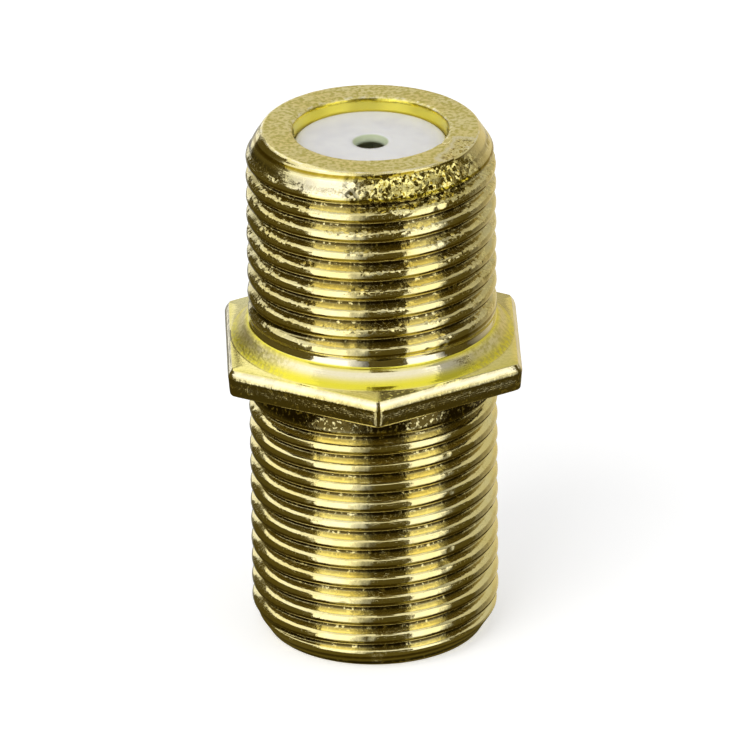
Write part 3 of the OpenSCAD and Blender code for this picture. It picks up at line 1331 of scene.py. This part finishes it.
    def _flange_rows(self) -> np.ndarray:
        """Rings of the flange, from the land under it to the top of the neck.

        The crown is a turned, slightly hollow cone: its height goes with the share t of the way
        in as t^1.1. The corners of the hexagon stay outside it as small flat facets.

        Returns:
            A row a ring: circle radius, size across flats, share of the hexagon, height, and the
            matte mark, the painted-light mark and the painted yellow reflection.
        """
        seat, low, top = self.seat_z, self.face_low_z, self.face_top_z
        crown, neck, neck_r = self.crown_z, self.neck_z, self.neck_r
        full, cut = self.hex_af, self.bevel_af
        land = self.thread_r
        inner = land + 0.1
        foot_r, head_r = cut / 2.0 - 0.03, neck_r + 0.14
        cone_r, rise = foot_r - 0.02, neck - crown - 0.05
        under = [
            (land, cut, 0.0, seat - 0.05, 0.1, 1.0, 0.0),
            (land + 0.02, cut, 0.0, seat - 0.01, 0.3, 1.0, 0.0),
            (land + 0.06, cut, 0.0, seat, 0.6, 1.0, 0.0),
            (inner, cut, 0.5, seat, 0.7, 1.0, 0.0),
            (inner, cut - 0.06, 1.0, seat, 0.7, 1.0, 0.0),
            (inner, cut + 0.02, 1.0, seat + 0.015, 0.4, 1.0, 0.0),
        ]
        faces = [
            (inner, full - 0.16, 1.0, low - 0.02, 0.06, 1.0, 0.0),
            (inner, full - 0.12, 1.0, low + 0.02, 0.0, 1.0, 0.0),
            (inner, full - 0.08, 1.0, low + 0.2, 0.0, 1.0, 0.0),
            (inner, full - 0.05, 1.0, low + 0.4, 0.0, 1.0, 0.0),
            (inner, full - 0.02, 1.0, top - 0.08, 0.0, 1.0, 0.0),
            (inner, full, 1.0, top - 0.03, 0.0, 1.0, 0.0),
        ]
        # Painted shade at the faces' top edge and the crown's foot, painted highlight on the bevel,
        # painted yellow reflection at the foot.
        bevel = [
            (inner, full - 0.03, 1.0, top + 0.02, 0.1, 0.3, 0.0),
            (inner, full - 0.06, 1.0, top + 0.07, 0.1, 1.1, 0.0),
            (inner, full - 0.5 * (full - cut), 1.0, top + 0.5 * self.bevel_len, 0.0, 1.4, 0.0),
            (inner, cut + 0.03, 1.0, crown - 0.05, 0.1, 1.2, 0.0),
            (inner, cut - 0.04, 1.0, crown + 0.01, 0.3, 0.9, 0.5),
            (foot_r + 0.02, cut - 0.06, 0.0, crown + 0.02, 0.3, 0.6, 0.3),
            (foot_r, cut, 0.0, crown + 0.06, 0.0, 0.4, 0.5),
        ]
        # The crown takes painted highlights and painted yellow reflections ring by ring.
        cone = [
            (cone_r - (cone_r - head_r) * t, cut, 0.0, crown + 0.07 + rise * t**1.1, 0.06, tone, yellow_reflection_share)
            for t, tone, yellow_reflection_share in self.crown_light
        ]
        # Painted yellow reflection at the neck's foot, and a painted highlight on the neck.
        collar = [
            (neck_r + 0.08, cut, 0.0, neck + 0.045, 0.0, 1.0, 0.9),
            (neck_r + 0.03, cut, 0.0, neck + 0.08, 0.0, 1.0, 0.9),
            (neck_r + 0.005, cut, 0.0, neck + 0.12, 0.0, 1.2, 0.0),
            (neck_r, cut, 0.0, neck + 0.15, 0.0, 1.4, 0.0),
            (neck_r, cut, 0.0, neck + 0.30, 0.0, 1.4, 0.0),
            (neck_r, cut, 0.0, self.neck_top_z - 0.06, 0.0, 1.3, 0.0),
        ]
        return np.array([*under, *faces, *bevel, *cone, *collar])

    def _flange(self, skin: RingSkin) -> None:
        """Add the hexagonal flange, from the land under it to the top of the neck.

        Each ring's radius is a blend of a circle and a hexagon. The land and the flange's underside
        take painted shade, the upright faces and a small front corner facet are darkened, the edges are
        ragged, the crown's painted highlight stays at its front, and the crown's sides are matte.

        Args:
            skin: the skin that takes it.
        """
        rows = self._flange_rows()
        angle = np.broadcast_to(skin.angles(), (len(rows), skin.columns))
        circle, flats, share, height, matte, crest, yellow_reflection_share = (rows[:, k : k + 1] for k in range(7))
        radius = circle * (1.0 - share) + hexagon_radius(angle, flats) * share
        height = np.broadcast_to(height, radius.shape)
        wave = ring_noise(WEAR_SEED + 41, 84, 0.22, angle, height)
        on_hex = share * (flats > self.bevel_af - 0.1)
        radius = radius - 0.002 * (1.0 + wave) * on_hex
        top, crown = self.face_top_z, self.crown_z
        marks = self._level_marks(np.broadcast_to(matte, radius.shape), height + 20.0)

        upright = (flats > self.hex_af - 0.17) & (height > self.seat_z + 0.05) & (height < top)
        # Painted shade on the land and the flange's underside; the upright faces are darkened.
        shade_and_tarnish_share = np.where(height < self.seat_z + 0.001, 1.0, 0.6 * upright)
        torn = np.clip(3.0 * ring_noise(WEAR_SEED + 42, 120, 0.3, angle, height), 0.0, 0.25)
        top_edge = np.abs(height - (top + 0.04)) < 0.04
        bevel_edge = np.abs(height - (crown - 0.05)) < 0.01
        shade_and_tarnish_share = np.maximum(shade_and_tarnish_share, torn * (top_edge | bevel_edge))
        facet = (height > crown) & (height < crown + 0.03)
        front = np.abs(angle_from(angle, self.front_corner_deg)) < math.radians(7.0)
        marks[..., Mark.SHADE_AND_TARNISH] = np.maximum(shade_and_tarnish_share, 0.85 * facet * front)

        on_cone = (height > crown + 0.04) & (height < self.neck_z + 0.05)
        # The crown's painted highlight is kept to its front, towards the camera.
        side = smooth_step(30.0, 55.0, np.abs(np.degrees(angle_from(angle, -90.0))))
        side_matte = np.maximum(matte, 0.8 * side)
        marks[..., Mark.MATTE] = np.where(on_cone, side_matte, matte)
        marks[..., Mark.PAINTED_LIGHT] = np.where(on_cone, 1.0 + (crest - 1.0) * (1.0 - side), crest)
        marks[..., Mark.YELLOW_REFLECTION] = yellow_reflection_share
        skin.add_rings(radius, height, marks)

    def build(self, finish: bpy.types.Material) -> bpy.types.Object:
        """Build the skin from the core's middle, down the inside, up the outside and back.

        Args:
            finish: the gold plating.

        Returns:
            The finished piece.
        """
        skin = RingSkin()
        lower, upper = self._lower_spiral(), self._upper_spiral()
        shoulder = self.mouth_depth + self.seat_len
        self._turned(skin, [
            (self.core_r, self.total / 2.0, 0.1),
            (self.core_r, shoulder, 0.1),
            (self.seat_r, shoulder, 0.1),
            (self.seat_r, self.mouth_depth + 0.1, 0.1),
        ])
        self._rim(skin, End.LOWER)
        zeros = np.zeros(skin.columns)
        self._turned(skin, [(self.rim_r + lower.cone_slope * self.edge, self.edge, 0.3)])
        land_marks = self._level_marks(zeros + 0.05, zeros + self.land_z)
        # Painted shade on the land under the flange.
        land_marks[:, Mark.SHADE_AND_TARNISH] = lower.shade_below_high
        skin.add_spiral(lower, zeros + self.thread_r, land_marks)
        self._flange(skin)
        self._turned(skin, [(self.thread_r - 0.02, self.neck_top_z, 0.0)])
        rim_marks = self._level_marks(zeros + 0.3, zeros + self.total)
        skin.add_spiral(upper, zeros + self.rim_r + upper.cone_slope * self.edge, rim_marks)
        self._rim(skin, End.UPPER)
        self._turned(skin, [
            (self.seat_r, self.total - self.mouth_depth - 0.1, 0.1),
            (self.seat_r, self.total - shoulder, 0.1),
            (self.core_r, self.total - shoulder, 0.1),
        ])
        mesh = skin.mesh("barrel_body", tuple(mark.attribute for mark in Mark))
        return adopt(mesh, finish, Slot.GOLD, "body")


@dataclass
class InsulatorPlug:
    """White plug with a funnel-mouthed wire hole in its front and a contact pocket behind.

    Sizes are in millimetres. The hole's last rings, from the funnel's foot inwards, take a share of
    painted shade, listed one a ring.
    """

    end: End
    front_z: float
    back_z: float
    plug_r: float
    hole_r: float = 0.53
    funnel_r: float = 0.65
    funnel_len: float = 0.2
    lip_len: float = 0.1
    hollow_r: float = 0.95
    front_wall: float = 0.9
    pocket_r: float = 1.24
    edge: float = 0.12
    dish: float = 0.02
    # Share of painted shade on each of the hole's last rings.
    hole_shade: tuple[float, ...] = (0.3, 1.0, 0.9, 0.8, 0.8, 0.8, 0.8, 0.8)

    @classmethod
    def from_frame(cls, node: str, end: End) -> "InsulatorPlug":
        """Take the plug's ends and size from its CAD node.

        Args:
            node: the CAD node.
            end: the end of the barrel it sits in.

        Returns:
            The plug, not built yet.
        """
        low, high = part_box(node)
        low_z, high_z = low[2] / MM, high[2] / MM
        front, back = (high_z, low_z) if end is End.UPPER else (low_z, high_z)
        return cls(end=end, front_z=front, back_z=back, plug_r=(high[0] - low[0]) / 2.0 / MM)

    def build(self, name: str, finish: bpy.types.Material, node: str) -> bpy.types.Object:
        """Revolve the closed section of (radius, depth behind the front face).

        The edge is a quarter circle, the face is dished by a sine, the funnel narrows along
        s^1.6, and a hollow behind its lip keeps the hole dark.

        Args:
            name: name of the piece.
            finish: the plastic.
            node: the CAD node it stands for.

        Returns:
            The finished piece.
        """
        plug, hole, edge = self.plug_r, self.hole_r, self.edge
        length = abs(self.front_z - self.back_z)
        bend = np.linspace(0.0, math.pi / 2.0, 6)
        face = np.linspace(plug - edge, self.funnel_r + 0.05, 14)[1:]
        lip = np.array([0.0, 0.35, 0.7, 1.0])
        mouth = self.funnel_r + 0.04
        radius = np.concatenate([
            [self.pocket_r, plug, plug],
            plug - edge * (1.0 - np.cos(bend)),
            face,
            mouth - (mouth - hole) * lip,
            [hole, self.hollow_r, self.hollow_r, self.pocket_r],
        ])
        hollow = np.sin(math.pi * (face - self.funnel_r) / (plug - self.funnel_r))
        depth = np.concatenate([
            [length, length, length / 2.0],
            edge * (1.0 - np.sin(bend)),
            self.dish * hollow,
            self.funnel_len * (0.06 + 0.94 * lip**1.6),
            [self.funnel_len + self.lip_len, self.funnel_len + self.lip_len + 0.05],
            [self.front_wall, self.front_wall],
        ])
        # The hole's last rings carry painted shade.
        inside = np.zeros(len(radius))
        inside[-len(self.hole_shade) :] = self.hole_shade
        skin = RingSkin(columns=PLUG_COLUMNS)
        ones = np.ones((len(radius), skin.columns))
        height = self.front_z - self.end.value * depth
        marks = (inside[:, None] * ones)[..., None]
        skin.add_rings(radius[:, None] * ones, height[:, None] * ones, marks)
        return adopt(skin.mesh(name, ("inside",)), finish, Slot.INSULATOR, node)


@dataclass(frozen=True)
class ReflectorCard:
    """A card for the metal to reflect: a patch of a sphere round the object, lit or dark.

    Angles are in degrees and seen from the object: azimuth 0 is towards the camera and grows to
    its right. The level goes evenly to end_level across the azimuth. Where two cards lie in one
    direction, the one of the smaller radius, in metres, hides the other.
    """

    name: str
    azimuth: Span
    elevation: Span
    level: float
    end_level: float | None = None
    colour: Colour = (1.0, 1.0, 1.0)
    radius: float = 0.2
    steps: int = 33

    def _glow(self) -> bpy.types.Material:
        """Light of the card's colour, at the level stored in its mesh.

        Returns:
            The material.
        """
        glow = bpy.data.materials.new(self.name)
        board = NodeBoard(glow)
        inputs = {"Color": (*self.colour, 1.0), "Strength": board.attribute("level")}
        board.output(board.add("ShaderNodeEmission", inputs).outputs["Emission"])
        return glow

    def build(self, centre_z: float) -> bpy.types.Object:
        """Build the patch: x = r sin(a) cos(e), y = -r cos(a) cos(e), z = r sin(e) + centre.

        Args:
            centre_z: height of the sphere's centre, in metres.

        Returns:
            The card, seen by reflections alone.
        """
        a, e = np.meshgrid(
            np.radians(np.linspace(*self.azimuth, self.steps)),
            np.radians(np.linspace(*self.elevation, self.steps)),
        )
        unit = np.stack([np.sin(a) * np.cos(e), -np.cos(a) * np.cos(e), np.sin(e)], axis=-1)
        xyz = unit * self.radius + np.array([0.0, 0.0, centre_z])
        k = np.arange(a.size).reshape(a.shape)
        quads = np.stack([k[:-1, :-1], k[1:, :-1], k[1:, 1:], k[:-1, 1:]], axis=-1).reshape(-1, 4)
        mesh = bpy.data.meshes.new(self.name)
        mesh.from_pydata(xyz.reshape(-1, 3).tolist(), [], quads.tolist())
        last = self.level if self.end_level is None else self.end_level
        across = np.broadcast_to(np.linspace(self.level, last, self.steps), a.shape)
        mesh.attributes.new("level", "FLOAT", "POINT").data.foreach_set("value", across.ravel())
        mesh.materials.append(self._glow())
        card = bpy.data.objects.new(self.name, mesh)
        bpy.context.scene.collection.objects.link(card)
        card.visible_camera = False
        card.visible_diffuse = False
        card.visible_transmission = False
        card.visible_shadow = False
        return card


@dataclass(frozen=True)
class SoftLamp:
    """A soft square lamp, unseen in reflections; its place and size are in metres."""

    name: str
    place: tuple[float, float, float]
    size: float
    power: float

    def build(self, centre_z: float) -> None:
        """Add the lamp, aimed at the object.

        Args:
            centre_z: height of the object's centre, in metres.
        """
        data = bpy.data.lights.new(self.name, "AREA")
        data.size = self.size
        data.energy = self.power
        lamp = bpy.data.objects.new(self.name, data)
        bpy.context.scene.collection.objects.link(lamp)
        lamp.location = self.place
        aim = Vector((0.0, 0.0, centre_z)) - Vector(self.place)
        lamp.rotation_euler = aim.to_track_quat("-Z", "Y").to_euler()
        lamp.visible_glossy = False


@dataclass
class Studio:
    """Plain pale floor, soft light, reflector cards and the camera; distances are in metres."""

    centre_z: float
    distance: float = 0.42
    elevation_deg: float = 25.0
    azimuth_deg: float = -1.6
    aside_mm: float = 0.075
    roll_deg: float = 0.63
    lens_mm: float = 531.0
    ambient: float = 0.6
    floor_half: float = 1.5
    floor_lift: float = 0.45
    lamps: tuple[SoftLamp, ...] = (
        SoftLamp("key_lamp", (-0.25, -0.35, 0.45), 0.4, 1.42),
        SoftLamp("fill_lamp", (0.35, -0.2, 0.35), 0.4, 0.25),
    )
    cards: tuple[ReflectorCard, ...] = (
        ReflectorCard("card_table", (-180.0, 180.0), (-89.0, -30.0), 0.10, colour=BROWN),
        ReflectorCard("card_left_below", (-50.0, -18.0), (-66.0, -30.0), 0.85, radius=0.199),
        ReflectorCard("card_right_below", (32.0, 54.0), (-66.0, -30.0), 0.85, radius=0.199),
        ReflectorCard("card_front", (-6.0, 30.0), (-30.0, 48.0), 0.08, colour=BROWN),
        ReflectorCard("card_front_top", (-6.0, 30.0), (64.0, 89.0), 0.12, colour=BROWN),
        ReflectorCard("card_right_window", (30.0, 58.0), (-30.0, 48.0), 1.35),
        ReflectorCard("card_right_fade", (58.0, 68.0), (-30.0, 15.0), 0.9, 0.1),
        ReflectorCard("card_right_upper", (58.0, 68.0), (15.0, 48.0), 1.2),
        ReflectorCard("card_right", (68.0, 98.0), (-30.0, 38.0), 0.08, colour=BROWN),
        ReflectorCard("card_right_top", (68.0, 98.0), (38.0, 60.0), 0.4),
        ReflectorCard("card_right_rise", (98.0, 150.0), (-30.0, 18.0), 0.10, 0.7, colour=TAN),
        ReflectorCard("card_left_window", (-58.0, -24.0), (-30.0, 48.0), 1.45),
        ReflectorCard("card_left_upper", (-66.0, -58.0), (15.0, 48.0), 1.2),
        ReflectorCard("card_left_fade", (-24.0, -6.0), (-30.0, 48.0), 1.0, 0.1),
        ReflectorCard("card_left_edge", (-66.0, -58.0), (-30.0, 15.0), 0.10, colour=BROWN),
        ReflectorCard("card_left", (-112.0, -66.0), (-30.0, 26.0), 0.09, colour=BROWN),
        ReflectorCard("card_left_streak", (-150.0, -66.0), (26.0, 62.0), 1.1),
        ReflectorCard("card_left_low", (-126.0, -112.0), (-30.0, 26.0), 0.08, colour=BROWN),
        ReflectorCard("card_left_end", (-150.0, -126.0), (-30.0, 26.0), 0.08, colour=BROWN),
        ReflectorCard("card_behind_left", (-180.0, -150.0), (-30.0, -10.0), 0.5, 0.2),
        ReflectorCard("card_behind_left_top", (-180.0, -150.0), (-10.0, 18.0), 1.0),
        ReflectorCard("card_behind_right", (150.0, 180.0), (-30.0, 18.0), 0.7, colour=TAN),
        ReflectorCard("card_high", (-100.0, 100.0), (40.0, 80.0), 0.9, radius=0.202),
        ReflectorCard("card_sky", (-180.0, 180.0), (-30.0, 90.0), 0.58, colour=WARM, radius=0.205),
    )

    def _background(self) -> None:
        """White where it is seen, mirrored or looked through, and a plain soft level for light."""
        world = bpy.data.worlds.new("studio_world")
        bpy.context.scene.world = world
        board = NodeBoard(world)
        rays = board.add("ShaderNodeLightPath").outputs
        seen = board.math("MAXIMUM", rays["Is Camera Ray"], rays["Is Glossy Ray"])
        seen = board.math("MAXIMUM", seen, rays["Is Transmission Ray"])
        level = board.remap(seen, (0.0, 1.0), (self.ambient, 1.0))
        back = board.add("ShaderNodeBackground", {"Strength": level})
        board.add("ShaderNodeOutputWorld", {"Surface": back.outputs["Background"]})

    def _floor(self) -> None:
        """Pale floor that takes the object's shadow and shows white where it is unshaded."""
        half = self.floor_half
        mesh = bpy.data.meshes.new("floor")
        corners = [(-half, -half, 0.0), (half, -half, 0.0), (half, half, 0.0), (-half, half, 0.0)]
        mesh.from_pydata(corners, [], [(0, 1, 2, 3)])
        pale = bpy.data.materials.new("floor")
        board = NodeBoard(pale)
        plain = board.add("ShaderNodeBsdfDiffuse", {"Color": (0.9, 0.9, 0.9, 1.0)})
        seen = board.add("ShaderNodeLightPath").outputs["Is Camera Ray"]
        lift = board.math("MULTIPLY", seen, self.floor_lift)
        glow = board.add("ShaderNodeEmission", {"Strength": lift})
        layers = {0: plain.outputs["BSDF"], 1: glow.outputs["Emission"]}
        board.output(board.add("ShaderNodeAddShader", layers).outputs["Shader"])
        mesh.materials.append(pale)
        floor = bpy.data.objects.new("floor", mesh)
        bpy.context.scene.collection.objects.link(floor)
        floor.visible_glossy = False

    def _camera(self) -> None:
        """Camera on a long lens, raised and rolled a little."""
        data = bpy.data.cameras.new("camera")
        data.lens = self.lens_mm
        data.clip_start = 0.01
        data.clip_end = 10.0
        camera = bpy.data.objects.new("camera", data)
        bpy.context.scene.collection.objects.link(camera)
        a, e = math.radians(self.azimuth_deg), math.radians(self.elevation_deg)
        back = Vector((math.sin(a) * math.cos(e), -math.cos(a) * math.cos(e), math.sin(e)))
        level = (-back).to_track_quat("-Z", "Y").to_matrix()
        turn = level @ Matrix.Rotation(math.radians(-self.roll_deg), 3, "Z")
        aim = Vector((self.aside_mm * MM, 0.0, self.centre_z))
        camera.matrix_world = Matrix.Translation(aim + back * self.distance) @ turn.to_4x4()
        bpy.context.scene.camera = camera

    def build(self) -> None:
        """Set up the whole stage."""
        bpy.context.scene.view_settings.view_transform = "Standard"
        self._background()
        self._floor()
        for card in self.cards:
            card.build(self.centre_z)
        for lamp in self.lamps:
            lamp.build(self.centre_z)
        self._camera()
        log.info("studio: %d cards, %d lamps", len(self.cards), len(self.lamps))


def dress_contact(finish: bpy.types.Material) -> None:
    """Give the contact's own CAD node its finish.

    Args:
        finish: the bronze.
    """
    contact = frame["nodes"]["centre_contact"]
    for slot in contact.material_slots:
        slot.material = finish
    log.info("centre_contact: finished as %s", finish.name)


def main() -> None:
    """Build and dress every piece, then the studio."""
    logging.basicConfig(level=logging.INFO, format="%(name)s %(message)s")
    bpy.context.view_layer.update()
    gold = GoldPlating().material()
    plastic = WhitePlastic().material()
    body = BarrelBody.from_frame()
    body.build(gold)
    upper = InsulatorPlug.from_frame("upper_insulator", End.UPPER)
    upper.build("upper_plug", plastic, "upper_insulator")
    lower = InsulatorPlug.from_frame("lower_insulator", End.LOWER)
    lower.build("lower_plug", plastic, "lower_insulator")
    dress_contact(SpringBronze().material())
    Studio(centre_z=body.total / 2.0 * MM).build()
    bpy.context.view_layer.update()


if __name__ == "__main__":
    main()
